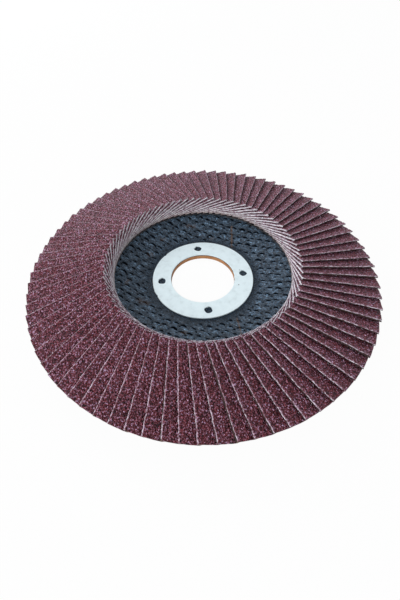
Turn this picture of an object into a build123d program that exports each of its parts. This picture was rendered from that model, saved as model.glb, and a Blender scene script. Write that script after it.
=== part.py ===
"""Conical flap disc for a hand grinder, abrasive side up.

Frame: origin on the bore axis, on the back face of the hub; +Z points out of the abrasive side.
Lengths are millimetres, angles are degrees. "Clockwise" is as seen from +Z.

A dished backing plate carries a pierced steel ring round its bore. Eighty cloth flaps stand in
a bed of adhesive on the plate's sloping annulus. Each flap is one rectangle of coated cloth and
lies on its clockwise neighbour. It is twisted a little, because the flaps crowd together
towards the bore and spread out towards the rim. The pile's ends lean outwards, so that the
roots stand nearer the bore than the leading corners do.
"""

from build123d import *
import os
from math import asin, atan2, cos, degrees, hypot, pi, radians, sin, sqrt, tan

# Overall disc and the bore that it turns on
disc_d = 115.0            # over the leading corners of the flaps
bore_d = 22.23            # moulded bore of the backing plate

# Backing plate: one moulding of woven glass cloth and resin
hub_d = 39.2              # flat front of the hub
hub_t = 1.55              # hub thickness, which the bore runs through
shell_t = 1.9             # thickness of the cone and the annulus
crest_d = 60.6            # where the cone turns into the annulus
crest_z = 5.78            # height of that corner above the hub's back face
annulus_slope = 4.9       # fall of the annulus towards the rim
flap_overhang = 4.0       # how far the flaps stand out past the plate's rim
hub_bevel = 0.7           # bevel between the hub's front and the cone

# Centre ring: a pierced steel washer on the front of the hub
ring_d = 35.3
ring_bore_clearance = 0.085   # radial; the ring stands back from the plate's bore
ring_t = 0.54
ring_hole_d = 2.7
ring_hole_pcd = 28.8
ring_hole_count = 4
ring_hole_angle = 7.2     # of the first hole, counterclockwise from +X

# Flaps: rectangles of coated cloth, with their ends pressed a little askew in the pile
flap_count = 80
flaps_per_set = 4         # flaps at equal steps round the disc that share one node
flap_w = 17.2             # from the leading edge to the glued root
flap_t = 0.66             # cloth, resin and grit together
lead_offset = 8.3         # from the leading edge to the radius beside it
end_lean_in = 2.3         # how much nearer the bore the inner end is at its root
end_lean_out = 1.5        # and the outer end
nest_gap_in = 0.075       # mean air between neighbours at the inner end
nest_gap_out = 0.26       # and at the rim, where they fan out
flap_angle = 2.4          # of the first flap's radius, counterclockwise from +X

# Adhesive bed: epoxy that holds the roots
bed_t = 0.28              # thickness under the roots
root_clearance = 0.02     # between the bed and the roots' lower edges
bead_w = 0.35             # its inner edge slopes up over this width
bed_crest_inset = 0.05    # from the plate's crest to the foot of that slope
lead_corner_inset = 0.6   # from the top of that slope to the flaps' inner leading corners
bed_rim_inset = 0.8       # from the plate's rim to the bed

disc_r = disc_d / 2
bore_r = bore_d / 2
hub_r = hub_d / 2
crest_r = crest_d / 2
plate_r = disc_r - flap_overhang
cone_slope = degrees(atan2(crest_z - hub_t, crest_r - hub_r))

bed_in = crest_r + bed_crest_inset
bed_out = plate_r - bed_rim_inset

# The leading corners of a flap, as distances out along the radius that it lies beside
flap_in = bed_in + bead_w + lead_corner_inset
flap_out = sqrt(disc_r ** 2 - lead_offset ** 2)


def annulus_front(r):
    """Height of the annulus's front face at radius r."""
    return crest_z - (r - crest_r) * tan(radians(annulus_slope))


def make_backing_plate():
    """Dished plate: flat hub, cone and sloping annulus, turned from one section."""
    front_hub = (hub_r, hub_t)
    front_crest = (crest_r, crest_z)
    front_rim = (plate_r, annulus_front(plate_r))
    # The back face lies one shell thickness under the front, so its crest is on the corner's
    # bisector, and the back of the cone runs down from there to the hub's back face.
    lean = radians((cone_slope - annulus_slope) / 2)
    reach = shell_t / cos(radians((cone_slope + annulus_slope) / 2))
    back_crest = (crest_r + reach * sin(lean), crest_z - reach * cos(lean))
    back_hub = (back_crest[0] - back_crest[1] / tan(radians(cone_slope)), 0)
    back_rim = (plate_r, annulus_front(plate_r) - shell_t / cos(radians(annulus_slope)))
    section = make_face(Polyline(
        (bore_r, 0), back_hub, back_crest, back_rim, front_rim, front_crest, front_hub,
        (bore_r, hub_t), close=True))
    section = chamfer(section.vertices().sort_by_distance((*front_hub, 0))[0], hub_bevel)
    return revolve(Plane.XZ * section, axis=Axis.Z)


def make_centre_ring():
    """Flat steel washer with its pierced holes, seated on the hub's front face."""
    holes = PolarLocations(ring_hole_pcd / 2, ring_hole_count, start_angle=ring_hole_angle)
    washer = Circle(ring_d / 2) - Circle(bore_r + ring_bore_clearance)
    washer -= holes * Circle(ring_hole_d / 2)
    return Pos(0, 0, hub_t) * extrude(washer, ring_t)


def flap_tilt(reach, gap):
    """Tilt of the cloth at one end, so that it lies on its neighbour with a gap between them."""
    pitch = 2 * pi * reach / flap_count
    return asin((flap_t + gap) / pitch)


def flap_section(reach, tilt, lean):
    """Section of a flap across its width, with its root on the adhesive under it."""
    rise, run = flap_w * sin(tilt), flap_w * cos(tilt)
    root_x, root_y = reach - lean, run - lead_offset
    root_z = annulus_front(hypot(root_x, root_y)) + bed_t + root_clearance
    lead_z = root_z + rise + flap_t * cos(tilt)
    plane = Plane((reach, -lead_offset, lead_z), x_dir=(-lean, run, -rise),
                  z_dir=(flap_w, lean * cos(tilt), -lean * sin(tilt)))
    return plane * Rectangle(hypot(flap_w, lean), flap_t, align=(Align.MIN, Align.MAX))


def make_flap():
    """One flap beside the +X radius: a ruled loft, because its two ends tilt differently."""
    inner = flap_section(
        flap_in, flap_tilt(flap_in - end_lean_in / 2, nest_gap_in), end_lean_in)
    outer = flap_section(
        flap_out, flap_tilt(flap_out - end_lean_out / 2, nest_gap_out), end_lean_out)
    return loft([inner, outer], ruled=True)


def make_adhesive_bed():
    """Ring of epoxy on the annulus, with its inner edge sloping up under the flaps' ends."""
    bed_top = bed_in + bead_w
    section = make_face(Polyline(
        (bed_in, annulus_front(bed_in)), (bed_out, annulus_front(bed_out)),
        (bed_out, annulus_front(bed_out) + bed_t), (bed_top, annulus_front(bed_top) + bed_t),
        close=True))
    return revolve(Plane.XZ * section, axis=Axis.Z)


flap = make_flap()
pitch_angle = 360 / flap_count
flaps = [Rot(0, 0, flap_angle + k * pitch_angle) * flap for k in range(flap_count)]
set_count = flap_count // flaps_per_set

parts = {
    "backing_plate": make_backing_plate(),
    "centre_ring": make_centre_ring(),
    "adhesive_bed": make_adhesive_bed(),
}
for k in range(set_count):
    parts[f"flap_set_{k + 1:02d}"] = Compound(children=flaps[k::set_count])

os.makedirs("parts", exist_ok=True)
for name, shape in parts.items():
    export_step(shape, f"parts/{name}.step")
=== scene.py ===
import math

import bpy
import numpy as np
from mathutils import Matrix, Vector


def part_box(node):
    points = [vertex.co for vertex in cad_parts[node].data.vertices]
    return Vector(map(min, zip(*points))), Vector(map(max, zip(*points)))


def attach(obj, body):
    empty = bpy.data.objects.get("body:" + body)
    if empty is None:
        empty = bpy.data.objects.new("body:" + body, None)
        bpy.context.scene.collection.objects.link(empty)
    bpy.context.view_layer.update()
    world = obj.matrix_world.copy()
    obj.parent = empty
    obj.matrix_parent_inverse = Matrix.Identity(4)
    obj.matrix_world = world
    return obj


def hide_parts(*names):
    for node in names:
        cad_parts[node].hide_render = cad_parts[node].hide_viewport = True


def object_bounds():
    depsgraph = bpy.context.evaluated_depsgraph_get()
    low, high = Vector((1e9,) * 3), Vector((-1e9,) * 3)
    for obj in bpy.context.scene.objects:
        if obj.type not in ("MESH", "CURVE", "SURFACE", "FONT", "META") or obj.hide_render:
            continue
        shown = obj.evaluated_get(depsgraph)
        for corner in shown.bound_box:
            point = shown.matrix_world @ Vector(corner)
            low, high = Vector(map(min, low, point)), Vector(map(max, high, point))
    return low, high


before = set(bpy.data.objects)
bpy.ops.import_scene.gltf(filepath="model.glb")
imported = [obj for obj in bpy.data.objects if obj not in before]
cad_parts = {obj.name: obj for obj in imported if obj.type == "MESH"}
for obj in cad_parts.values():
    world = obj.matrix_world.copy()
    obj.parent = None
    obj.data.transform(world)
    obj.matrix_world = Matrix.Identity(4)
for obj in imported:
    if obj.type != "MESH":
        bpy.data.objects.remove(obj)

cad_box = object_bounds()


# Backing plate: a dished disc pressed from woven glass cloth and black-dyed resin. The cloth's
# open plain weave shows in the moulding, flattened beside the bore where the ring was pressed
# on. The hole is punched, so it shows the undyed amber laminate.
plate_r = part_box("backing_plate")[1].x
bore_r = 11.115e-3
hub_r = 19.6e-3
hub_z = 1.55e-3
crest_r = 30.3e-3
crest_z = 5.78e-3
shell_t = 1.9e-3
annulus_fall = math.tan(math.radians(4.9))
cone_rise = (crest_z - hub_z) / (crest_r - hub_r)
corner_round = 0.35e-3

weft_pitch, warp_pitch = 2.8e-3, 2.9e-3
weft_angle = math.radians(-24)
warp_skew = 0.24
hole_length, hole_width = 0.34, 0.13       # half sizes of the holes between yarns, in pitches
hole_arch = 0.9                            # how strongly a hole bends over the yarn below it
hole_stagger, hole_wander = 0.7, 0.24      # how far holes are out of line, in pitches
yarn_waver = 0.22e-3
weave_depth = 0.65e-3                      # from the highest crown to the bottom of the deepest hole
hole_depth, pinhole_depth = 0.75, 0.5      # these four are shares of that depth
lip_height, streak_height = 0.17, 0.14
filament_depth = 0.06e-3
bore_fray = 0.10e-3
pressed_from, pressed_to = 18.6e-3, 21.0e-3    # the ring's press has flattened the cloth inside
pressed_relief = 0.18                      # the share of the weave's depth that is left there
pressed_height, plain_height = 0.62, 0.7   # height of the yarns where they are flattened or plain

seen_from, seen_to = 17.2e-3, 31.5e-3      # what shows lies between the ring and the flaps
steps_round = 760
seen_step = 0.22e-3
hidden_step = 1.0e-3
rim_cut = 0.1e-3                           # the rim's corners are broken by this much


def drift(x, y, size, seed):
    """Smooth random wander between -1 and 1 over the plane, with features of that size."""
    table = np.random.default_rng(seed).uniform(-1, 1, (128, 128))
    u, v = x / size, y / size
    i, j = np.floor(u).astype(int), np.floor(v).astype(int)
    s, t = u - i, v - j
    s, t = s * s * (3 - 2 * s), t * t * (3 - 2 * t)
    i, j, i1, j1 = i % 128, j % 128, (i + 1) % 128, (j + 1) % 128
    near = table[i, j] * (1 - s) + table[i1, j] * s
    far = table[i, j1] * (1 - s) + table[i1, j1] * s
    return near * (1 - t) + far * t


def glass_weave(x, y):
    """Height of the glass cloth, from 0 in its holes to 1 on the crowns of its yarns."""
    x = x + yarn_waver * drift(x, y, 3e-3, 11)
    y = y + yarn_waver * drift(x, y, 3e-3, 12)
    along_weft = x * math.cos(weft_angle) + y * math.sin(weft_angle)
    across_weft = y * math.cos(weft_angle) - x * math.sin(weft_angle)
    u, v = (along_weft + warp_skew * across_weft) / warp_pitch, across_weft / weft_pitch
    shuffle = np.random.default_rng(16).random((4, 64))
    row = np.floor(v).astype(int)
    u = u + hole_stagger * shuffle[0, row % 64]
    column = np.floor(u).astype(int)
    pick = (7 * row + 11 * column) % 64
    across = u - column - 0.5 + hole_wander * (shuffle[1, pick] - 0.5)
    down = v - row - 0.5 + hole_wander * (shuffle[2, pick] - 0.5)
    size = 0.75 + 0.5 * shuffle[3, pick]
    bent = down + hole_arch * across ** 2
    across, bent = across / (hole_length * size), bent / (hole_width * size)
    hole = np.sqrt(np.clip(1 - across ** 2 - bent ** 2, 0, 1))
    lip = np.exp(-across ** 2 - ((bent + 1.5) / 0.6) ** 2)
    crossing = np.cos(math.pi * u) * np.cos(math.pi * v)
    from_crossing = np.hypot(u - np.round(u), 1.2 * (v - row - 0.1))
    pinhole = np.clip(1 - from_crossing / (0.12 + 0.08 * size), 0, 1)
    yarns = 0.74 + 0.06 * np.cos(2 * math.pi * v) + 0.08 * crossing + lip_height * lip
    streaks = streak_height * drift(along_weft, 2.2 * across_weft, 0.75e-3, 17)
    return np.clip(yarns + streaks - hole_depth * hole - pinhole_depth * pinhole, 0, 1)


def plate_front(r):
    """Height of the plate's front: flat hub, cone and annulus, with soft corners."""
    cone = hub_z + (r - hub_r) * cone_rise
    annulus = crest_z - (r - crest_r) * annulus_fall
    dish = (hub_z + cone + np.sqrt((hub_z - cone) ** 2 + corner_round ** 2)) / 2
    return (dish + annulus - np.sqrt((dish - annulus) ** 2 + corner_round ** 2)) / 2


def plate_back(r):
    """Height of the plate's back: the same dish, one shell thickness lower."""
    shell_cone = shell_t * math.hypot(1, cone_rise)
    shell_annulus = shell_t * math.hypot(1, annulus_fall)
    cone = hub_z + (r - hub_r) * cone_rise - shell_cone
    annulus = crest_z - (r - crest_r) * annulus_fall - shell_annulus
    dish = (cone + np.sqrt(cone ** 2 + corner_round ** 2)) / 2
    return np.maximum((dish + annulus - np.sqrt((dish - annulus) ** 2 + corner_round ** 2)) / 2, 0)


def grid_quads(rows, columns, closed):
    """Quads over a grid of points, joined up end to end in each direction that is closed."""
    i = np.arange(rows if closed[0] else rows - 1)[:, None]
    j = np.arange(columns if closed[1] else columns - 1)[None, :]
    i1, j1 = (i + 1) % rows, (j + 1) % columns
    quads = np.stack([i * columns + j, i * columns + j1, i1 * columns + j1, i1 * columns + j], -1)
    return quads.reshape(-1, 4)


def make_piece(name, points, faces, finishes, finish_of_face=0, replaces=()):
    """A smooth-shaded mesh object that rides on the disc."""
    mesh = bpy.data.meshes.new(name)
    mesh.from_pydata(points.tolist(), [], [list(f) for f in faces])
    piece = bpy.data.objects.new(name, mesh)
    bpy.context.scene.collection.objects.link(piece)
    for finish in finishes:
        mesh.materials.append(finish)
    finish_list = np.broadcast_to(finish_of_face, len(mesh.polygons)).astype(np.int32)
    mesh.polygons.foreach_set("material_index", finish_list)
    mesh.polygons.foreach_set("use_smooth", np.ones(len(mesh.polygons), bool))
    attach(piece, "root")
    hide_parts(*replaces)
    return piece


def new_finish(name):
    """A node material, with its Principled shader and its node and link lists."""
    finish = bpy.data.materials.new(name)
    finish.use_nodes = True
    tree = finish.node_tree
    return finish, tree.nodes["Principled BSDF"], tree.nodes, tree.links


def colour_ramp(n, link, value, *steps):
    """Colours for a value in a material, with each stop given as (place, (red, green, blue))."""
    ramp = n.new("ShaderNodeValToRGB")
    stops = ramp.color_ramp.elements
    while len(stops) < len(steps):
        stops.new(1)
    for stop, (place, colour) in zip(stops, steps):
        stop.position = place
        stop.color = (*colour, 1)
    link.new(value, ramp.inputs["Fac"])
    return ramp.outputs["Color"]


def add_bump(n, link, shader, height, strength, distance, sunken=False):
    """Bends a material's surface by a height, which stands up unless it is sunken."""
    bump = n.new("ShaderNodeBump")
    bump.invert = sunken
    bump.inputs["Strength"].default_value = strength
    bump.inputs["Distance"].default_value = distance
    link.new(height, bump.inputs["Height"])
    link.new(bump.outputs["Normal"], shader.inputs["Normal"])


# Fibres and glue stains on the front: (angle, radius) at each end, width and strength, with
# angles in degrees and lengths in millimetres.
marks = [((55, 19.3), (65, 26.8), 0.35, 0.75), ((293, 30.0), (302, 20.6), 0.30, 0.65),
         ((80, 20.3), (80, 20.6), 0.9, 0.25), ((150, 22.0), (152, 22.6), 1.1, 0.25),
         ((186, 25.8), (189, 26.2), 0.8, 0.35), ((257, 24.0), (255, 24.6), 1.0, 0.28),
         ((212, 22.0), (208, 23.5), 1.3, 0.35), ((98, 25.5), (104, 26.0), 0.9, 0.28),
         ((128, 23.5), (131, 24.2), 0.7, 0.25)]


def mark_strength(x, y):
    """How much of a fibre's or a stain's colour lies at a point of the front."""
    mask = np.zeros_like(x)
    ragged = 0.4 * drift(x, y, 0.6e-3, 14)
    for (start_angle, start_r), (end_angle, end_r), width, strength in marks:
        a, b = math.radians(start_angle), math.radians(end_angle)
        start = 1e-3 * start_r * np.array([math.cos(a), math.sin(a)])
        run = 1e-3 * end_r * np.array([math.cos(b), math.sin(b)]) - start
        share = np.clip(((x - start[0]) * run[0] + (y - start[1]) * run[1]) / run.dot(run), 0, 1)
        away = np.hypot(x - start[0] - share * run[0], y - start[1] - share * run[1])
        mask = np.maximum(mask, strength * np.clip(1.2 - away / (1e-3 * width) + ragged, 0, 1))
    return mask


front_r = np.concatenate([
    np.linspace(bore_r, seen_from, 5), np.arange(seen_from + seen_step, seen_to, seen_step),
    np.linspace(seen_to + 2.5e-3, plate_r - 3.5 * rim_cut, 4), [plate_r - rim_cut]])
back_r = np.concatenate([
    [plate_r - rim_cut], np.arange(plate_r - 4 * rim_cut, bore_r, -hidden_step), [bore_r]])
turn = np.linspace(0, 2 * math.pi, steps_round, endpoint=False)


def ring_of_points(r, height):
    """Points round the axis at each radius, with the height given at each point."""
    x, y = r[:, None] * np.cos(turn), r[:, None] * np.sin(turn)
    return x, y, np.broadcast_to(height, x.shape)


x, y, z = ring_of_points(front_r, plate_front(front_r)[:, None])
pressed = np.clip((front_r - pressed_from) / (pressed_to - pressed_from), 0, 1)[:, None]
in_sight = np.clip((seen_to + 0.1e-3 - front_r) / 0.4e-3, 0, 1)[:, None]
yarns = glass_weave(x, y)
filaments = 0.5 + 0.5 * drift(x + 0.45 * y, 2.6 * (y - 0.45 * x), 0.9e-3, 13)
relief = (1 - yarns) * (pressed_relief + (1 - pressed_relief) * pressed) * in_sight
z = z - weave_depth * relief - filament_depth * filaments * in_sight
front = np.stack([x, y, z], -1)
stain = mark_strength(x, y)
x, y, z = ring_of_points(back_r, plate_back(back_r)[:, None])
back = np.stack([x, y, z], -1)
back_yarns = np.full(x.shape, plain_height)
wall_z = np.linspace(0, hub_z, 9)[1:-1]
x, y, z = ring_of_points(np.full(len(wall_z), bore_r), wall_z[:, None])
fray = bore_fray * drift(turn[None, :] * 9, z * 2500, 0.12, 15) * np.sin(math.pi * z / hub_z)
wall = np.stack([x * (1 - fray / bore_r), y * (1 - fray / bore_r), z], -1)
loops = np.concatenate([front, back, wall])
loop_count = len(loops)
faces = grid_quads(loop_count, steps_round, (True, True))[:, ::-1]
is_wall = np.arange(loop_count) >= len(front) + len(back) - 1
wall_faces = np.repeat(is_wall, steps_round)

plate_finish, shader, n, link = new_finish("black_glass_laminate")
yarn_height = n.new("ShaderNodeAttribute")
yarn_height.attribute_name = "yarn_height"
stain_mask = n.new("ShaderNodeAttribute")
stain_mask.attribute_name = "stain"
place = n.new("ShaderNodeTexCoord")
strands = n.new("ShaderNodeMapping")
strands.inputs["Rotation"].default_value = (0, 0, -weft_angle)
strands.inputs["Scale"].default_value = (1, 2.6, 1)
link.new(place.outputs["Object"], strands.inputs["Vector"])
resin = n.new("ShaderNodeTexNoise")
resin.inputs["Scale"].default_value = 1900
resin.inputs["Detail"].default_value = 3
resin.inputs["Roughness"].default_value = 0.7
link.new(strands.outputs["Vector"], resin.inputs["Vector"])
# The resin noise gives streaks in the resin. Its ramp also paints bright glints into the colour, up to
# six times the yarn's colour, as painted highlights.
streaks_and_painted_glints = colour_ramp(
    n, link, resin.outputs["Fac"], (0.40, (0.28, 0.29, 0.31)), (0.51, (0.8, 0.83, 0.87)),
    (0.59, (2.0, 2.15, 2.25)), (0.65, (5.5, 6.0, 6.2)))
# Colour by the weave's height, darkest down in the holes and palest on the crowns. The black resin and
# the bluish glass yarn are the cloth's own colours, and the darkening down into the holes is partly
# painted shade.
yarn_colour_and_hole_shade = colour_ramp(
    n, link, yarn_height.outputs["Fac"], (0.20, (0.002, 0.003, 0.005)),
    (0.55, (0.014, 0.021, 0.030)), (0.80, (0.035, 0.059, 0.088)), (0.96, (0.105, 0.166, 0.235)))
streak_and_glint_tint = n.new("ShaderNodeMix")
streak_and_glint_tint.data_type = "RGBA"
streak_and_glint_tint.blend_type = "MULTIPLY"
streak_and_glint_tint.inputs["Factor"].default_value = 1
link.new(yarn_colour_and_hole_shade, streak_and_glint_tint.inputs["A"])
link.new(streaks_and_painted_glints, streak_and_glint_tint.inputs["B"])
stained = n.new("ShaderNodeMix")
stained.data_type = "RGBA"
stained.inputs["B"].default_value = (0.13, 0.075, 0.045, 1)
link.new(stain_mask.outputs["Fac"], stained.inputs["Factor"])
link.new(streak_and_glint_tint.outputs["Result"], stained.inputs["A"])
link.new(stained.outputs["Result"], shader.inputs["Base Color"])
add_bump(n, link, shader, resin.outputs["Fac"], strength=0.9, distance=0.3e-3)
wet = n.new("ShaderNodeMapRange")
wet.inputs["From Min"].default_value = 0.4
wet.inputs["From Max"].default_value = 0.9
wet.inputs["To Max"].default_value = 0.5
link.new(yarn_height.outputs["Fac"], wet.inputs["Value"])
link.new(wet.outputs["Result"], shader.inputs["Specular IOR Level"])
shader.inputs["Roughness"].default_value = 0.30


def build_mottle():
    """Node group for blotches in three tones, with their height for bumps and dull spots."""
    group = bpy.data.node_groups.new("mottle", "ShaderNodeTree")
    sockets = group.interface
    sockets.new_socket(name="Vector", in_out="INPUT", socket_type="NodeSocketVector")
    for name in ("Scale", "Detail", "Roughness", "Dark At", "Middle At", "Pale At"):
        sockets.new_socket(name=name, in_out="INPUT", socket_type="NodeSocketFloat")
    for name in ("Dark", "Middle", "Pale"):
        sockets.new_socket(name=name, in_out="INPUT", socket_type="NodeSocketColor")
    sockets.new_socket(name="Colour", in_out="OUTPUT", socket_type="NodeSocketColor")
    sockets.new_socket(name="Height", in_out="OUTPUT", socket_type="NodeSocketFloat")
    n, link = group.nodes, group.links
    given, result = n.new("NodeGroupInput"), n.new("NodeGroupOutput")
    blotches = n.new("ShaderNodeTexNoise")
    for name in ("Vector", "Scale", "Detail", "Roughness"):
        link.new(given.outputs[name], blotches.inputs[name])
    tone = given.outputs["Dark"]
    for start, end, colour in (("Dark At", "Middle At", "Middle"), ("Middle At", "Pale At", "Pale")):
        share = n.new("ShaderNodeMapRange")
        link.new(blotches.outputs["Fac"], share.inputs["Value"])
        link.new(given.outputs[start], share.inputs["From Min"])
        link.new(given.outputs[end], share.inputs["From Max"])
        step = n.new("ShaderNodeMix")
        step.data_type = "RGBA"
        link.new(share.outputs["Result"], step.inputs["Factor"])
        link.new(tone, step.inputs["A"])
        link.new(given.outputs[colour], step.inputs["B"])
        tone = step.outputs["Result"]
    link.new(tone, result.inputs["Colour"])
    link.new(blotches.outputs["Fac"], result.inputs["Height"])
    return group


mottle = build_mottle()


def mottled(n, link, vector, scale, detail, dark, middle, pale, roughness=0.5):
    """Places the blotches in a material; each tone is given as (place, (red, green, blue))."""
    blotches = n.new("ShaderNodeGroup")
    blotches.node_tree = mottle
    link.new(vector, blotches.inputs["Vector"])
    blotches.inputs["Scale"].default_value = scale
    blotches.inputs["Detail"].default_value = detail
    blotches.inputs["Roughness"].default_value = roughness
    for name, (place, colour) in (("Dark", dark), ("Middle", middle), ("Pale", pale)):
        blotches.inputs[name].default_value = (*colour, 1)
        blotches.inputs[name + " At"].default_value = place
    return blotches


cut_finish, shader, n, link = new_finish("cut_laminate")
place = n.new("ShaderNodeTexCoord")
layers = n.new("ShaderNodeMapping")
layers.inputs["Scale"].default_value = (150, 150, 1400)
link.new(place.outputs["Object"], layers.inputs["Vector"])
plies = mottled(
    n, link, layers.outputs["Vector"], scale=2, detail=2, dark=(0.3, (0.30, 0.115, 0.035)),
    middle=(0.55, (0.52, 0.235, 0.09)), pale=(0.8, (0.66, 0.36, 0.18)))
link.new(plies.outputs["Colour"], shader.inputs["Base Color"])
shader.inputs["Roughness"].default_value = 0.6

plate = make_piece(
    "glass_cloth_plate", loops.reshape(-1, 3), faces, [plate_finish, cut_finish], wall_faces,
    replaces=["backing_plate"])
front_yarns = yarns * pressed + pressed_height * (1 - pressed)
for name, on_front, on_back in (("yarn_height", front_yarns, back_yarns),
                                ("stain", stain, np.zeros_like(back_yarns))):
    values = np.concatenate([on_front, on_back, np.ones_like(wall[..., 0])])
    layer = plate.data.attributes.new(name, "FLOAT", "POINT")
    layer.data.foreach_set("value", values.ravel().astype(np.float32))


# Centre ring: a thin washer of zinc-plated steel, punched out with four small holes that the
# plate's resin grips. It carries the grinder's clamp nut. Its edges are rolled over a little
# by the punch, and two nicks and a few scuffs mark it.
ring_low, ring_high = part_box("centre_ring")
ring_r = ring_high.x
ring_bore_r = 11.2e-3
ring_t = ring_high.z - ring_low.z
punch_round = 0.10e-3
hole_r = 1.35e-3
hole_circle_r = 14.4e-3
hole_angle = math.radians(7.2)
hole_burrs = (None, 3.1, 1.6, None)      # angle of the torn spot in each hole's edge
burr_h, burr_spread = 0.28e-3, 0.22
rim_nicks = (math.radians(-152), math.radians(-218))
nick_w, nick_d = 0.35e-3, 0.35e-3
rim_waver = 0.03e-3


def outline(curve, centre, radii):
    """A closed line round a centre, with the radius given at equal steps of angle."""
    line = curve.splines.new("POLY")
    line.points.add(len(radii) - 1)
    for k, (point, r) in enumerate(zip(line.points, radii)):
        a = 2 * math.pi * k / len(radii)
        point.co = (centre[0] + r * math.cos(a), centre[1] + r * math.sin(a), 0, 1)
    line.use_cyclic_u = True


def turn_from(angles, mark):
    """How far each angle is from a mark, between half a turn back and half a turn on."""
    return (angles - mark + math.pi) % (2 * math.pi) - math.pi


blank = bpy.data.curves.new("ring_blank", "CURVE")
blank.dimensions = "2D"
blank.fill_mode = "BOTH"
blank.extrude = ring_t / 2 - punch_round
blank.bevel_depth = punch_round
blank.bevel_resolution = 2
blank.offset = -punch_round
a = np.linspace(0, 2 * math.pi, 240, endpoint=False)
edge = ring_r - rim_waver * (1 + drift(a * 6, a * 0, 0.3, 21)) / 2
for nick in rim_nicks:
    edge = edge - nick_d * np.exp(-(turn_from(a, nick) * ring_r / nick_w) ** 2)
outline(blank, (0, 0), edge)
outline(blank, (0, 0), np.full(200, ring_bore_r))
for k, burr in enumerate(hole_burrs):
    a = np.linspace(0, 2 * math.pi, 40, endpoint=False)
    r = hole_r * (0.98 + 0.045 * np.cos(4 * (a - 0.4 * k)) + 0.02 * np.cos(3 * a + k))
    if burr is not None:
        r = r + burr_h * np.exp(-(turn_from(a, burr) / burr_spread) ** 2)
    angle = hole_angle + k * math.pi / 2
    outline(blank, (hole_circle_r * math.cos(angle), hole_circle_r * math.sin(angle)), r)
punched = bpy.data.objects.new("ring_blank", blank)
bpy.context.scene.collection.objects.link(punched)
depsgraph = bpy.context.evaluated_depsgraph_get()
ring_mesh = bpy.data.meshes.new_from_object(punched.evaluated_get(depsgraph))
bpy.data.objects.remove(punched)
ring_mesh.name = "punched_ring"
ring = bpy.data.objects.new("punched_ring", ring_mesh)
bpy.context.scene.collection.objects.link(ring)
ring.location = (0, 0, (ring_low.z + ring_high.z) / 2)

ring_finish, shader, n, link = new_finish("zinc_plated_steel")
place = n.new("ShaderNodeTexCoord")
plating = mottled(
    n, link, place.outputs["Object"], scale=420, detail=5, dark=(0.30, (0.70, 0.81, 0.84)),
    middle=(0.45, (0.78, 0.90, 0.935)), pale=(0.62, (0.82, 0.94, 0.975)), roughness=0.6)
specks = n.new("ShaderNodeTexVoronoi")
specks.inputs["Scale"].default_value = 260
link.new(place.outputs["Object"], specks.inputs["Vector"])
pits = n.new("ShaderNodeMapRange")
pits.inputs["From Min"].default_value = 0.045
pits.inputs["From Max"].default_value = 0.075
link.new(specks.outputs["Distance"], pits.inputs["Value"])
marked = n.new("ShaderNodeMix")
marked.data_type = "RGBA"
marked.inputs["A"].default_value = (0.30, 0.34, 0.34, 1)
link.new(pits.outputs["Result"], marked.inputs["Factor"])
link.new(plating.outputs["Colour"], marked.inputs["B"])
link.new(marked.outputs["Result"], shader.inputs["Base Color"])
dull = n.new("ShaderNodeMapRange")
dull.inputs["To Min"].default_value = 0.36
dull.inputs["To Max"].default_value = 0.55
link.new(plating.outputs["Height"], dull.inputs["Value"])
link.new(dull.outputs["Result"], shader.inputs["Roughness"])
shader.inputs["Metallic"].default_value = 0.3
ring_mesh.materials.clear()
ring_mesh.materials.append(ring_finish)
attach(ring, "root")
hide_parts("centre_ring")


# Adhesive bed: a ring of dark epoxy poured on the annulus, which the flaps' roots are set in.
# It squeezes out in an uneven bead round the foot of the wall of flap ends.
bed_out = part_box("adhesive_bed")[1].x
bed_in = 30.35e-3
bed_top_in = 30.70e-3
bed_t = 0.28e-3
bead_keyed = 0.3e-3           # the bead's foot runs this deep into the weave
bead_spread, bead_waver = 0.15e-3, 0.22e-3     # how far it is squeezed out, and how unevenly
bead_lumps = 0.08e-3
hidden_r = (33e-3, 38e-3, 44e-3, 49e-3)        # rings of points under the flaps
bead_steps = 900

turn = np.linspace(0, 2 * math.pi, bead_steps, endpoint=False)
round_x, round_y = 30e-3 * np.cos(turn), 30e-3 * np.sin(turn)
foot = bed_in - bead_spread + bead_waver * drift(round_x, round_y, 1.1e-3, 31)
top = bed_t - bead_lumps * (1 + drift(round_x, round_y, 0.6e-3, 32))


def bed_ring(r, lift):
    """One ring of the bed, at a radius and a height above the plate's front."""
    r = np.broadcast_to(r, turn.shape)
    return np.stack([r * np.cos(turn), r * np.sin(turn), plate_front(r) + lift], -1)


bead = [bed_ring(bed_top_in, -bead_keyed), bed_ring(foot, -bead_keyed)]
for step in np.linspace(0, 1, 7):
    swell = math.sin(step * math.pi / 2)
    bead.append(bed_ring(foot + (bed_top_in - foot) * step, top * swell))
for r in (seen_to, *hidden_r, bed_out):
    bead.append(bed_ring(r, bed_t))
for r in (bed_out, *hidden_r[::-1]):
    bead.append(bed_ring(r, 0))
bead = np.array(bead)

epoxy_finish, shader, n, link = new_finish("cured_epoxy")
place = n.new("ShaderNodeTexCoord")
skin = mottled(
    n, link, place.outputs["Object"], scale=900, detail=3, dark=(0.35, (0.006, 0.006, 0.008)),
    middle=(0.525, (0.018, 0.018, 0.022)), pale=(0.7, (0.030, 0.030, 0.036)))
link.new(skin.outputs["Colour"], shader.inputs["Base Color"])
add_bump(n, link, shader, skin.outputs["Height"], strength=0.4, distance=0.2e-3)
shader.inputs["Roughness"].default_value = 0.4
bead_faces = grid_quads(len(bead), bead_steps, (True, True))[:, ::-1]
make_piece("epoxy_bed", bead.reshape(-1, 3), bead_faces, [epoxy_finish],
           replaces=["adhesive_bed"])


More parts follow.
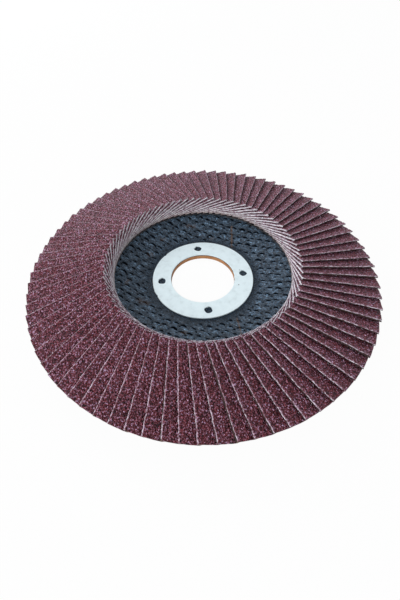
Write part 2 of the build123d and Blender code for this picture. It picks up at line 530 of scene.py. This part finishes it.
# Flaps: eighty rectangles of cotton-backed abrasive cloth, coated with coarse aluminium oxide
# in maroon resin. Each lies on its clockwise neighbour with its root in the epoxy, and is
# twisted because the flaps crowd together at the bore. The cut edges show the pale cloth.
flap_count = 80
flaps_per_set = 4
set_count = flap_count // flaps_per_set
flap_w = 17.2e-3
flap_t = 0.66e-3
lead_offset = 8.3e-3
end_lean_in, end_lean_out = 2.3e-3, 1.5e-3     # the roots are this much nearer the bore
nest_gap_in, nest_gap_out = 0.075e-3, 0.26e-3
first_flap_angle = math.radians(2.4)
root_lift = 0.30e-3
disc_r = max(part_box(f"flap_set_{k + 1:02d}")[1].x for k in range(set_count))
flap_in = 31.3e-3
flap_out = math.sqrt(disc_r ** 2 - lead_offset ** 2)

coat_t = 0.28e-3              # grit and resin, on top of the cloth
frayed_t = 0.33e-3            # how deep the leading edge shows frayed cloth
undercut = 0.12e-3            # how far the cloth's lower edge stands back from it
torn_t = 0.20e-3              # what is left of the coat's thickness at the inner end
exposed_w = 6.0e-3            # seen beside the leading edge
grain = 0.52e-3
grain_depth = 0.27e-3
edge_band = 0.21e-3           # where the cut has crushed the coat along the leading edge, painted paler partly as highlight
end_band = 0.13e-3            # the same at the inner end, bared to the cloth
edge_drop = 0.13e-3           # how far the crushed coat dips at the leading edge
spring_least, spring_most = 0.15e-3, 0.45e-3   # how far a leading side has sprung up
set_back_most = 0.30e-3       # how far a leading edge is cut short of the full width
askew_least, askew_most = -0.15e-3, 0.25e-3    # and how much more than that at the outer end
trim_least, trim_most = 0.03e-3, 0.18e-3       # how far an outer end is cut short of the rim
edge_waver, edge_nibble = 0.09e-3, 0.05e-3     # how unevenly the leading edge is cut
outer_waver, inner_waver = 0.03e-3, 0.12e-3    # and the two ends
rounded_share, rounded_to = 0.85, 0.40         # how nearly an outer end follows the round rim,
                                               # and over what share of the flap's width
soaked_from = 0.75            # glue has soaked the inner end beyond this share of the width
ply_wander = 0.9              # a pale ply runs along the cut, up and down in the cloth's depth
ply_depth = 0.97              # its mean share of the depth, plus half its wander
ply_fade = 0.70               # how fast the cut darkens away from it

steps_along = 112
step_across = 0.24e-3
length = flap_out - flap_in
along = np.concatenate([[0, end_band], np.linspace(2 * end_band, length, steps_along)]) / length
across = np.concatenate([[0, edge_band], np.arange(edge_band + step_across, exposed_w, step_across),
                         np.linspace(exposed_w + 0.8e-3, flap_w, 5)]) / flap_w
back_along = np.linspace(0, 1, 14)
back_across = np.array([0, 0.12, 0.3, 0.55, 0.8, 1.0])


def flap_end(reach, lean, gap):
    """Leading and root corners of the cloth's top at one end, and its upward normal."""
    tilt = math.asin((flap_t + gap) / (2 * math.pi * (reach - lean / 2) / flap_count))
    root_x, root_y = reach - lean, flap_w * math.cos(tilt) - lead_offset
    annulus = crest_z - (math.hypot(root_x, root_y) - crest_r) * annulus_fall
    root_z = annulus + root_lift + flap_t * math.cos(tilt)
    lead = np.array([reach, -lead_offset, root_z + flap_w * math.sin(tilt)])
    return lead, np.array([root_x, root_y, root_z]), np.array([0, math.sin(tilt), math.cos(tilt)])


inner_lead, inner_root, inner_up = flap_end(flap_in, end_lean_in, nest_gap_in)
outer_lead, outer_root, outer_up = flap_end(flap_out, end_lean_out, nest_gap_out)


def cloth_point(s, t, depth):
    """Points of a flap at shares of its length and width, and a depth under its top."""
    s, t, depth = (np.asarray(v)[..., None] for v in (s, t, depth))
    lead = inner_lead * (1 - s) + outer_lead * s
    root = inner_root * (1 - s) + outer_root * s
    up = inner_up * (1 - s) + outer_up * s
    return lead * (1 - t) + root * t - depth * up


def pebbles(x, y, size, seed):
    """Height of packed grains of that size, from 0 between them to 1 on their tops."""
    u, v = x / size, y / size
    jitter = np.random.default_rng(seed).random((2, 128, 128))
    nearest = np.full(u.shape, 9.0)
    for di in (-1, 0, 1):
        for dj in (-1, 0, 1):
            i, j = np.floor(u).astype(int) + di, np.floor(v).astype(int) + dj
            px, py = i + jitter[0, i % 128, j % 128], j + jitter[1, i % 128, j % 128]
            nearest = np.minimum(nearest, (u - px) ** 2 + (v - py) ** 2)
    return np.clip(1 - nearest / 0.6, 0, 1)


def zip_chains(upper, lower):
    """Triangles between two lines of points that run side by side with different steps."""
    triangles, i, j = [], 0, 0
    while i < len(upper) - 1 or j < len(lower) - 1:
        upper_next = (i + 1) * (len(lower) - 1) <= (j + 1) * (len(upper) - 1)
        if j == len(lower) - 1 or (i < len(upper) - 1 and upper_next):
            triangles.append((upper[i], upper[i + 1], lower[j]))
            i += 1
        else:
            triangles.append((upper[i], lower[j + 1], lower[j]))
            j += 1
    return triangles


def boundary(first, rows, columns):
    """The four sides of a grid of points, as chains that follow each other round it."""
    at = first + np.arange(rows * columns).reshape(rows, columns)
    return [at[:, 0], at[-1, :], at[::-1, -1], at[0, ::-1]]


top_loop = np.concatenate([side[:-1] for side in boundary(0, len(along), len(across))])


def flap_faces():
    """Faces of one flap and the finish of each: 0 coat, 1 crushed coat, partly a painted
    highlight, 2 frayed cut, 3 inner end's cloth, 4 outer end's cloth, 5 cloth painted nearly
    black as shade."""
    rows, columns = len(along), len(across)
    faces = [list(f[::-1]) for f in grid_quads(rows, columns, (False, False))]
    frayed = np.zeros((rows - 1, columns - 1), int)
    frayed[:, 0] = 1
    frayed[0, :] = 2
    finish = list(frayed.ravel())
    top_sides = boundary(0, rows, columns)
    loop_start = rows * columns
    below = {p: loop_start + k for k, p in enumerate(top_loop.tolist())}
    back_start = loop_start + len(top_loop)
    back_sides = boundary(back_start, len(back_along), len(back_across))
    upper_finish, lower_finish = (2, 0, 0, 0), (5, 4, 5, 3)
    for side, (top_side, back_side) in enumerate(zip(top_sides, back_sides)):
        middle = [below[p] for p in top_side.tolist()]
        for k in range(len(middle) - 1):
            faces.append([top_side[k + 1], top_side[k], middle[k], middle[k + 1]])
            finish.append(upper_finish[side])
        for a, b, c in zip_chains(middle, back_side.tolist()):
            faces.append([b, a, c])
            finish.append(lower_finish[side])
    back = grid_quads(len(back_along), len(back_across), (False, False)) + back_start
    faces += [list(f) for f in back]
    finish += [5] * len(back)
    return [[int(v) for v in f] for f in faces], finish


def curl(s, y, far, sprung):
    """How far a flap's leading side has sprung up off its neighbour, most at the outer end."""
    reach = 2.4e-3 + 2.6e-3 * s
    height = sprung * s ** 1.5 + 0.05e-3 * (1 + drift(s * length + far, 0 * y, 5e-3, 43))
    return height * np.clip(1 - y / reach, 0, 1) ** 2 * np.clip(s * 5, 0, 1)


def flap_points(k):
    """Points of flap k in the disc's frame: grit on top, a waved cut edge, and plain cloth."""
    rng = np.random.default_rng(500 + k)
    s, t = np.meshgrid(along, across, indexing="ij")
    x, y = s * length, t * flap_w
    far = k * 40e-3
    grit = 0.6 * pebbles(x + far, y, grain, 41) + 0.4 * pebbles(x + far, y, 1.7 * grain, 42)
    seen = np.clip((exposed_w + 1e-3 - y) / 1e-3, 0, 1)
    depth = grain_depth * (1 - grit) * seen + edge_drop * np.clip(1 - y / 0.3e-3, 0, 1) ** 2
    sprung = rng.uniform(spring_least, spring_most)
    lift = curl(s, y, far, sprung)
    set_back = rng.uniform(0, set_back_most) + rng.uniform(askew_least, askew_most) * s
    ragged = edge_waver * drift(x + far, 0 * x, 1.6e-3, 44)
    ragged = ragged + edge_nibble * drift(x + far, 0 * x, 0.5e-3, 45)
    cut = np.clip(set_back + ragged, 0, None) * np.clip(1 - y / 1.5e-3, 0, 1)
    trim = rng.uniform(trim_least, trim_most) + outer_waver * drift(y + far, 0 * y, 1.0e-3, 46)
    side = outer_lead[1] * (1 - t) + outer_root[1] * t
    bow = np.sqrt((disc_r - trim) ** 2 - side ** 2) - outer_lead[0] * (1 - t) - outer_root[0] * t
    rounded = rounded_share * bow * np.clip((rounded_to - t) / 0.1, 0, 1)
    outer = (rounded - trim * (t > exposed_w / flap_w)) * np.clip((s - 0.9) / 0.1, 0, 1)
    inner = inner_waver * (1 + drift(y + far, 0 * y, 0.9e-3, 47)) * np.clip((0.06 - s) / 0.06, 0, 1)
    points = cloth_point(s, t, depth - lift)
    points[..., 1] += cut
    points[..., 0] += outer + inner
    s_loop, t_loop = s.ravel()[top_loop], t.ravel()[top_loop]
    moved = np.stack([(outer + inner).ravel(), cut.ravel(), lift.ravel()], -1)[top_loop]
    edge_t = np.select([t_loop == 0, s_loop == 0], [frayed_t, torn_t], coat_t)
    edge_t = np.maximum(edge_t, depth.ravel()[top_loop] + 0.02e-3)
    middle = cloth_point(s_loop, t_loop, edge_t) + moved
    s_back, t_back = np.meshgrid(back_along, back_across, indexing="ij")
    under = cloth_point(s_back, t_back, flap_t - curl(s_back, t_back * flap_w, far, sprung))
    under[..., 1] += undercut * (t_back == 0)
    points = np.concatenate([points.reshape(-1, 3), middle, under.reshape(-1, 3)])
    angle = first_flap_angle + k * 2 * math.pi / flap_count
    c, q = math.cos(angle), math.sin(angle)
    x, y = points[:, 0] * c - points[:, 1] * q, points[:, 0] * q + points[:, 1] * c
    return np.stack([x, y, points[:, 2]], -1)


coat_finish, shader, n, link = new_finish("maroon_grit")
place = n.new("ShaderNodeTexCoord")
grains = n.new("ShaderNodeTexVoronoi")
grains.inputs["Scale"].default_value = 2100
link.new(place.outputs["Object"], grains.inputs["Vector"])
grain_tone = n.new("ShaderNodeSeparateColor")
link.new(grains.outputs["Color"], grain_tone.inputs["Color"])
grain_colour = colour_ramp(
    n, link, grain_tone.outputs["Red"], (0.0, (0.60, 0.54, 0.54)), (0.5, (1.07, 1.05, 1.05)),
    (1.0, (1.6, 1.6, 1.55)))
clumps_and_shade = n.new("ShaderNodeTexNoise")
clumps_and_shade.inputs["Scale"].default_value = 2150
clumps_and_shade.inputs["Detail"].default_value = 4
clumps_and_shade.inputs["Roughness"].default_value = 0.7
link.new(place.outputs["Object"], clumps_and_shade.inputs["Vector"])
# Maroon grit colour with painted shade and highlight. It is nearly black between the clumps as painted
# shade. On their tops it is pale lilac, partly as painted highlight and partly the grains' own lilac
# flecks.
grit_shade_and_highlight = colour_ramp(
    n, link, clumps_and_shade.outputs["Fac"], (0.41, (0.006, 0.002, 0.002)), (0.47, (0.074, 0.008, 0.009)),
    (0.53, (0.185, 0.027, 0.034)), (0.58, (0.26, 0.108, 0.158)), (0.64, (0.54, 0.41, 0.62)))
coat_colour_shade_and_highlight = n.new("ShaderNodeMix")
coat_colour_shade_and_highlight.data_type = "RGBA"
coat_colour_shade_and_highlight.blend_type = "MULTIPLY"
coat_colour_shade_and_highlight.inputs["Factor"].default_value = 1
link.new(grain_colour, coat_colour_shade_and_highlight.inputs["A"])
link.new(grit_shade_and_highlight, coat_colour_shade_and_highlight.inputs["B"])
link.new(coat_colour_shade_and_highlight.outputs["Result"], shader.inputs["Base Color"])
add_bump(n, link, shader, grains.outputs["Distance"], strength=1.0, distance=0.42e-3, sunken=True)
shader.inputs["Roughness"].default_value = 0.42
shader.inputs["Specular IOR Level"].default_value = 0.3
shader.inputs["Specular Tint"].default_value = (0.95, 0.80, 1.0, 1)
shader.inputs["Sheen Weight"].default_value = 0.12
shader.inputs["Sheen Roughness"].default_value = 0.4
shader.inputs["Sheen Tint"].default_value = (0.85, 0.75, 0.95, 1)

# The crushed band has the crushed grit's own paler colour, lightened further as a painted highlight
# along the leading edge.
crushed_and_highlit_finish, shader, n, link = new_finish("crushed_coat_painted_highlight")
place = n.new("ShaderNodeTexCoord")
crumbs_and_highlight = mottled(
    n, link, place.outputs["Object"], scale=1800, detail=3, dark=(0.36, (0.075, 0.014, 0.020)),
    middle=(0.48, (0.22, 0.09, 0.12)), pale=(0.60, (0.56, 0.40, 0.50)))
link.new(crumbs_and_highlight.outputs["Colour"], shader.inputs["Base Color"])
shader.inputs["Roughness"].default_value = 0.6

bared_finish, shader, n, link = new_finish("bared_edge")
place = n.new("ShaderNodeTexCoord")
breaks = mottled(
    n, link, place.outputs["Object"], scale=1300, detail=3, dark=(0.38, (0.09, 0.028, 0.036)),
    middle=(0.48, (0.40, 0.31, 0.38)), pale=(0.58, (0.84, 0.79, 0.86)))
link.new(breaks.outputs["Colour"], shader.inputs["Base Color"])
shader.inputs["Roughness"].default_value = 0.8

cloth_edge_finish, shader, n, link = new_finish("cut_cloth")
place = n.new("ShaderNodeTexCoord")
cut_depth = n.new("ShaderNodeAttribute")
cut_depth.attribute_name = "depth"
threads = n.new("ShaderNodeTexNoise")
threads.inputs["Scale"].default_value = 1000
threads.inputs["Detail"].default_value = 3
link.new(place.outputs["Object"], threads.inputs["Vector"])
plies = n.new("ShaderNodeTexNoise")
plies.inputs["Scale"].default_value = 550
link.new(place.outputs["Object"], plies.inputs["Vector"])
wandering = n.new("ShaderNodeMath")
wandering.operation = "MULTIPLY_ADD"
wandering.inputs[1].default_value = ply_wander
link.new(plies.outputs["Fac"], wandering.inputs[0])
link.new(cut_depth.outputs["Fac"], wandering.inputs[2])
from_ply = n.new("ShaderNodeMath")
from_ply.operation = "SUBTRACT"
from_ply.inputs[1].default_value = ply_depth
link.new(wandering.outputs[0], from_ply.inputs[0])
beside_ply = n.new("ShaderNodeMath")
beside_ply.operation = "ABSOLUTE"
link.new(from_ply.outputs[0], beside_ply.inputs[0])
pale_share = n.new("ShaderNodeMath")
pale_share.operation = "MULTIPLY_ADD"
pale_share.inputs[1].default_value = -ply_fade
link.new(beside_ply.outputs[0], pale_share.inputs[0])
link.new(threads.outputs["Fac"], pale_share.inputs[2])
cloth_colour = colour_ramp(
    n, link, pale_share.outputs[0], (0.20, (0.36, 0.25, 0.285)), (0.28, (0.62, 0.51, 0.56)),
    (0.36, (0.84, 0.76, 0.84)), (0.46, (1.0, 0.97, 1.0)))
soaked = n.new("ShaderNodeAttribute")
soaked.attribute_name = "soaked"
glued = n.new("ShaderNodeMix")
glued.data_type = "RGBA"
glued.blend_type = "MULTIPLY"
glued.inputs["B"].default_value = (0.62, 0.54, 0.48, 1)
link.new(soaked.outputs["Fac"], glued.inputs["Factor"])
link.new(cloth_colour, glued.inputs["A"])
link.new(glued.outputs["Result"], shader.inputs["Base Color"])
add_bump(n, link, shader, threads.outputs["Fac"], strength=0.6, distance=0.15e-3)
shader.inputs["Roughness"].default_value = 0.9

tan_finish, shader, n, link = new_finish("stained_cloth")
place = n.new("ShaderNodeTexCoord")
fibres = mottled(
    n, link, place.outputs["Object"], scale=1700, detail=3, dark=(0.38, (0.060, 0.035, 0.022)),
    middle=(0.52, (0.155, 0.105, 0.070)), pale=(0.66, (0.34, 0.27, 0.20)))
link.new(fibres.outputs["Colour"], shader.inputs["Base Color"])
shader.inputs["Roughness"].default_value = 0.9

# The cloth's underside and the lower parts of its leading and root sides are painted nearly black as
# shade, though the cotton backing itself is pale.
shaded_cloth_finish, shader, n, link = new_finish("cloth_backing_painted_shade")
place = n.new("ShaderNodeTexCoord")
weft = n.new("ShaderNodeTexWave")
weft.inputs["Scale"].default_value = 420
weft.inputs["Distortion"].default_value = 1.5
link.new(place.outputs["Object"], weft.inputs["Vector"])
shaded_twill_colour = colour_ramp(
    n, link, weft.outputs["Fac"], (0.2, (0.022, 0.009, 0.008)), (0.8, (0.050, 0.022, 0.019)))
link.new(shaded_twill_colour, shader.inputs["Base Color"])
shader.inputs["Roughness"].default_value = 0.85

one_flap, one_finish = flap_faces()
points_per_flap = len(flap_points(0))
top_count, back_count = len(along) * len(across), len(back_along) * len(back_across)
cut_share = np.full(len(top_loop), torn_t / flap_t)
depth_share = np.concatenate([np.zeros(top_count), cut_share, np.ones(back_count)])
top_share, back_share = np.tile(across, len(along)), np.tile(back_across, len(back_along))
width_share = np.concatenate([top_share, top_share[top_loop], back_share])
soak_share = np.clip((width_share - soaked_from) / (1 - soaked_from), 0, 1)
for number in range(set_count):
    points = [flap_points(k) for k in range(number, flap_count, set_count)]
    faces = [[v + m * points_per_flap for v in face] for m in range(flaps_per_set) for face in one_flap]
    flaps = make_piece(
        f"cloth_flaps_{number + 1:02d}", np.concatenate(points), faces,
        [coat_finish, crushed_and_highlit_finish, bared_finish, cloth_edge_finish, tan_finish, shaded_cloth_finish],
        np.tile(one_finish, flaps_per_set),
        replaces=[f"flap_set_{number + 1:02d}"])
    for name, share in (("depth", depth_share), ("soaked", soak_share)):
        layer = flaps.data.attributes.new(name, "FLOAT", "POINT")
        layer.data.foreach_set("value", np.tile(share, flaps_per_set))


# Loose threads: white cotton fibres pulled out of the cut cloth. They lie along the flaps' inner
# ends, stick out at their leading corners and, here and there, along their leading edges.
thread_w = 0.07e-3
threads_at_end, threads_at_corner, threads_at_edge = 14, 4, 3
end_way = (-0.10e-3, 1.1e-3, -0.35e-3)         # how threads run from the inner end,
corner_way = (-0.5e-3, 0.2e-3, -0.2e-3)        # from the leading corner
edge_way = (0.5e-3, -0.12e-3, -0.05e-3)        # and from the leading edge
rng = np.random.default_rng(61)
ceiling = cad_box[1].z - thread_w


def bent_thread(start, run, sag):
    """Points of a three-sided thread from a start, along a run, bent sideways by a sag."""
    rings = []
    # its sides face outwards whichever way it runs
    way_round = 1 if 0.6 * run[2] > 0.8 * run[1] else -1
    for share in (0, 0.35, 0.7, 1.0):
        middle = start + run * share + sag * share * (1 - share) * 4
        w = thread_w * (0.6 if share in (0, 1.0) else 1) / 2
        for side in range(3):
            a = way_round * 2 * math.pi * side / 3
            rings.append(middle + w * np.array([math.cos(a), math.sin(a) * 0.6, math.sin(a) * 0.8]))
    return rings


thread_points, thread_faces = [], []
for k in range(flap_count):
    angle = first_flap_angle + k * 2 * math.pi / flap_count
    c, q = math.cos(angle), math.sin(angle)
    turned = np.array([[c, -q, 0], [q, c, 0], [0, 0, 1]])
    starts = [(0, rng.uniform(0.02, 0.8), end_way) for _ in range(threads_at_end)]
    starts += [(0, 0.01, corner_way) for _ in range(threads_at_corner)]
    starts += [(rng.uniform(0.02, 0.9), 0, edge_way) for _ in range(threads_at_edge)]
    for s_start, t_start, way in starts:
        start = cloth_point(s_start, t_start, rng.uniform(0.1e-3, 0.6e-3))
        start = start + (np.array([-0.03e-3, 0, 0]) if s_start == 0 else 0)
        run = np.array(way) * rng.uniform(0.4, 1.1) + rng.normal(0, 0.13e-3, 3)
        sag = rng.normal(0, 0.08e-3, 3)
        rings = np.array(bent_thread(start, run, sag)) @ turned.T
        rings[:, 2] = np.minimum(rings[:, 2], ceiling)
        first = len(thread_points) * len(rings)
        last = first + len(rings) - 3
        thread_points.append(rings)
        for ring_start in range(first, last, 3):
            for side in range(3):
                a, b = ring_start + side, ring_start + (side + 1) % 3
                thread_faces.append((a, b, b + 3, a + 3))
        thread_faces += [(first + 2, first + 1, first), (last, last + 1, last + 2)]

thread_finish, shader, n, link = new_finish("cotton_thread")
shader.inputs["Base Color"].default_value = (0.82, 0.80, 0.86, 1)
shader.inputs["Roughness"].default_value = 0.9
make_piece("loose_threads", np.concatenate(thread_points), thread_faces, [thread_finish])


# Table, lamps and camera: a white table in an evenly lit room, with two soft lamps standing low
# at the front left and the back left, seen from about fifty degrees above the table.
table_glow = 0.965            # the share of the table's white that no shadow darkens
lamp_size, lamp_power = 0.30, 2.4
lamp_colour = (0.97, 0.98, 1.0)
lamp_target = (0, 0, 0.005)
room_colour, room_light = (0.94, 0.97, 1.0, 1), 0.56

floor_mesh = bpy.data.meshes.new("table")
floor_mesh.from_pydata([(-3, -3, 0), (3, -3, 0), (3, 3, 0), (-3, 3, 0)], [], [(0, 1, 2, 3)])
floor = bpy.data.objects.new("table", floor_mesh)
bpy.context.scene.collection.objects.link(floor)


def shown_directly(n, link):
    """1 for rays that the camera, a gloss or a transmission sends, and 0 for diffuse ones."""
    path = n.new("ShaderNodeLightPath")
    first, second = n.new("ShaderNodeMath"), n.new("ShaderNodeMath")
    first.operation = second.operation = "MAXIMUM"
    link.new(path.outputs["Is Camera Ray"], first.inputs[0])
    link.new(path.outputs["Is Glossy Ray"], first.inputs[1])
    link.new(first.outputs[0], second.inputs[0])
    link.new(path.outputs["Is Transmission Ray"], second.inputs[1])
    return second.outputs[0]


table_finish, shader, n, link = new_finish("white_table")
shader.inputs["Base Color"].default_value = (0.80, 0.80, 0.80, 1)
shader.inputs["Roughness"].default_value = 0.9
shader.inputs["Specular IOR Level"].default_value = 0
glow = n.new("ShaderNodeEmission")
glow.inputs["Strength"].default_value = 1.0
share = n.new("ShaderNodeMath")
share.operation = "MULTIPLY"
share.inputs[1].default_value = table_glow
link.new(shown_directly(n, link), share.inputs[0])
table_mix = n.new("ShaderNodeMixShader")
link.new(share.outputs[0], table_mix.inputs["Fac"])
link.new(shader.outputs["BSDF"], table_mix.inputs[1])
link.new(glow.outputs["Emission"], table_mix.inputs[2])
link.new(table_mix.outputs["Shader"], n["Material Output"].inputs["Surface"])
floor_mesh.materials.append(table_finish)

world = bpy.data.worlds.new("studio")
world.use_nodes = True
bpy.context.scene.world = world
n, link = world.node_tree.nodes, world.node_tree.links
room = n["Background"]
room.inputs["Color"].default_value = room_colour
room.inputs["Strength"].default_value = room_light
backdrop = n.new("ShaderNodeBackground")
backdrop.inputs["Color"].default_value = (1, 1, 1, 1)
backdrop.inputs["Strength"].default_value = 1.0
world_mix = n.new("ShaderNodeMixShader")
link.new(shown_directly(n, link), world_mix.inputs["Fac"])
link.new(room.outputs["Background"], world_mix.inputs[1])
link.new(backdrop.outputs["Background"], world_mix.inputs[2])
link.new(world_mix.outputs["Shader"], n["World Output"].inputs["Surface"])


def soft_lamp(name, place):
    """A square lamp that faces the disc."""
    lamp = bpy.data.lights.new(name, "AREA")
    lamp.size = lamp_size
    lamp.energy = lamp_power
    lamp.color = lamp_colour
    stand = bpy.data.objects.new(name, lamp)
    bpy.context.scene.collection.objects.link(stand)
    stand.location = place
    aim = Vector(lamp_target) - Vector(place)
    stand.rotation_euler = aim.to_track_quat("-Z", "Y").to_euler()


soft_lamp("back_lamp", (-0.423, 0.504, 0.298))
soft_lamp("front_lamp", (-0.423, -0.504, 0.298))

camera_place = (0, -0.077765, 0.090240)
camera_target = (-0.000918, -0.014830, 0.00805)
camera_roll = math.radians(-0.877)
lens = bpy.data.cameras.new("camera")
lens.lens = 19.96
lens.sensor_width = 36
lens.clip_start = 0.005
camera = bpy.data.objects.new("camera", lens)
bpy.context.scene.collection.objects.link(camera)
camera.location = camera_place
look = (Vector(camera_target) - Vector(camera_place)).to_track_quat("-Z", "Y").to_matrix()
camera.rotation_euler = (look @ Matrix.Rotation(camera_roll, 3, "Z")).to_euler()
bpy.context.scene.camera = camera
bpy.context.scene.view_settings.view_transform = "Standard"
